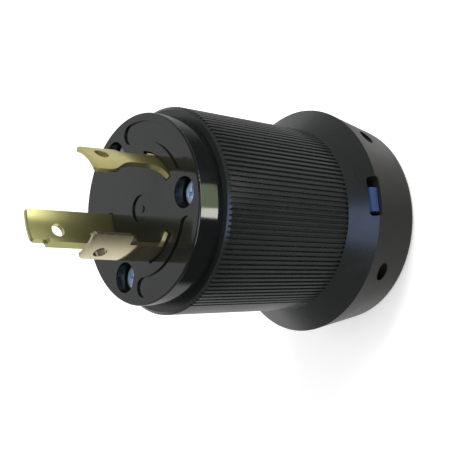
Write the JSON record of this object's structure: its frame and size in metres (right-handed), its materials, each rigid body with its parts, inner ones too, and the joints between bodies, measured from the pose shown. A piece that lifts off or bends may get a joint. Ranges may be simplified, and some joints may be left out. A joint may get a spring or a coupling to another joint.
{
  "type": "locking power plug",
  "caption": "Three blade twist locking power plug with ribbed grip, flared rim and screw operated cord clamp.",
  "frame": {"origin": "middle of the flat rear end, on the plug's axis", "axes": "+Z along the plug towards the blades; -Y towards the window of the cord clamp; +X across the clamp"},
  "size_m": [0.0597, 0.0594, 0.0952],
  "materials": {
    "face_nylon": "moulded nylon, semi gloss black",
    "retainer_fibre": "grey vulcanised fibre",
    "base_nylon": "moulded nylon, black",
    "blade_brass": "stamped brass, slightly tarnished",
    "blade_nickel": "nickel plated brass",
    "green_screw": "green chromated steel",
    "nickel_screw": "nickel plated",
    "brass_screw": "turned brass",
    "zinc_steel": "zinc plated steel, bluish",
    "insert_brass": "turned brass",
    "seal_rubber": "soft black rubber",
    "housing_nylon": "moulded nylon, satin black",
    "cap_nylon": "moulded nylon, satin black",
    "jaw_blue": "moulded nylon, blue"
  },
  "bodies": {
    "plug_body": {"front_cap": "face_nylon", "blade_retainer": "retainer_fibre", "terminal_base": "base_nylon", "ground_blade": "blade_brass", "neutral_blade": "blade_nickel", "hot_blade": "blade_brass", "ground_terminal_screw": "green_screw", "neutral_terminal_screw": "nickel_screw", "hot_terminal_screw": "brass_screw", "ground_pressure_plate": "zinc_steel", "neutral_pressure_plate": "zinc_steel", "hot_pressure_plate": "zinc_steel", "assembly_screws": "zinc_steel", "thread_inserts": "insert_brass", "dust_seal": "seal_rubber", "rear_housing": "housing_nylon", "rear_cap": "cap_nylon", "fixed_clamp_jaw": "jaw_blue", "clamp_nuts": "zinc_steel"},
    "clamp_jaw": {"moving_clamp_jaw": "jaw_blue", "clamp_screws": "zinc_steel"}
  },
  "joints": [
    {"name": "clamp_slide", "type": "slide", "parent": "plug_body", "child": "clamp_jaw", "axis": [0, 1, 0], "range_m": [0, 0.0076]}
  ]
}
